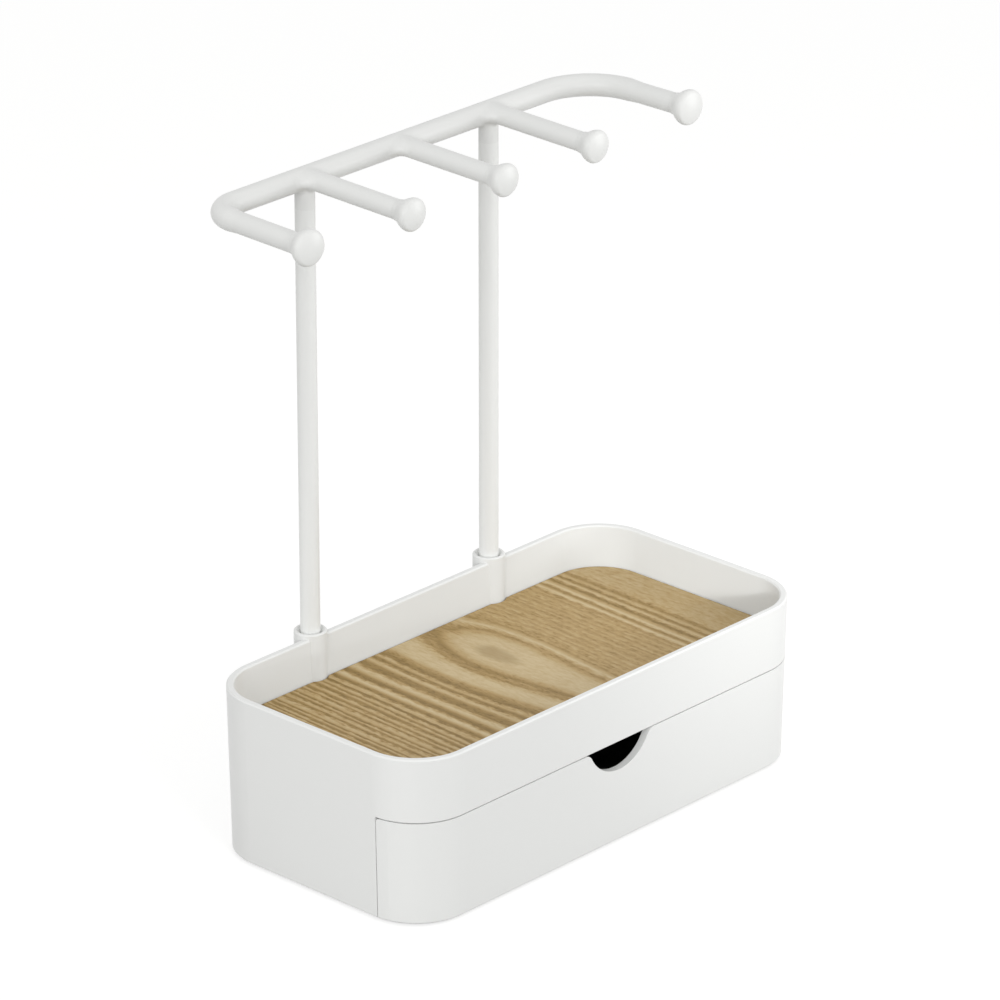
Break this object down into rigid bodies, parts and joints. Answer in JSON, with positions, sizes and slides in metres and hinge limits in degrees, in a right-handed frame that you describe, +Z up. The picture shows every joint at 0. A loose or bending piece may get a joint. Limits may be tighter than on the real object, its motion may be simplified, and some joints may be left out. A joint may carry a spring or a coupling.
{
  "type": "jewelry stand with drawer",
  "caption": "Low box with a wooden tray and a wrap-front drawer below, and a rack of knobbed arms on two posts behind, for necklaces and small jewellery.",
  "frame": {"origin": "on the surface that the stand rests on, below the middle of its overall width and depth", "axes": "+X along the front to the right, +Y from the drawer front to the back, +Z up"},
  "size_m": [0.24, 0.1314, 0.2832],
  "materials": {
    "white_plastic": "satin white moulded plastic",
    "rack_plastic": "semi-gloss white moulded plastic",
    "post_enamel": "white enamelled tube",
    "ash_veneer": "ash veneer, satin lacquer",
    "black_flock": "black flocking",
    "pad_rubber": "grey elastomer"
  },
  "bodies": {
    "base": {"casing": "white_plastic", "base_plate": "white_plastic", "foot_pads": "pad_rubber", "tray_board": "ash_veneer"},
    "drawer": {"drawer": "white_plastic", "drawer_liner": "black_flock"},
    "hanger": {"rack": "rack_plastic", "left_post": "post_enamel", "right_post": "post_enamel", "knobs": "rack_plastic"}
  },
  "joints": [
    {"name": "drawer_slide", "type": "slide", "parent": "base", "child": "drawer", "axis": [0, -1, 0], "range_m": [0, 0.08]},
    {"name": "hanger_lift", "type": "slide", "parent": "base", "child": "hanger", "axis": [0, 0, 1], "range_m": [0, 0.044]}
  ]
}
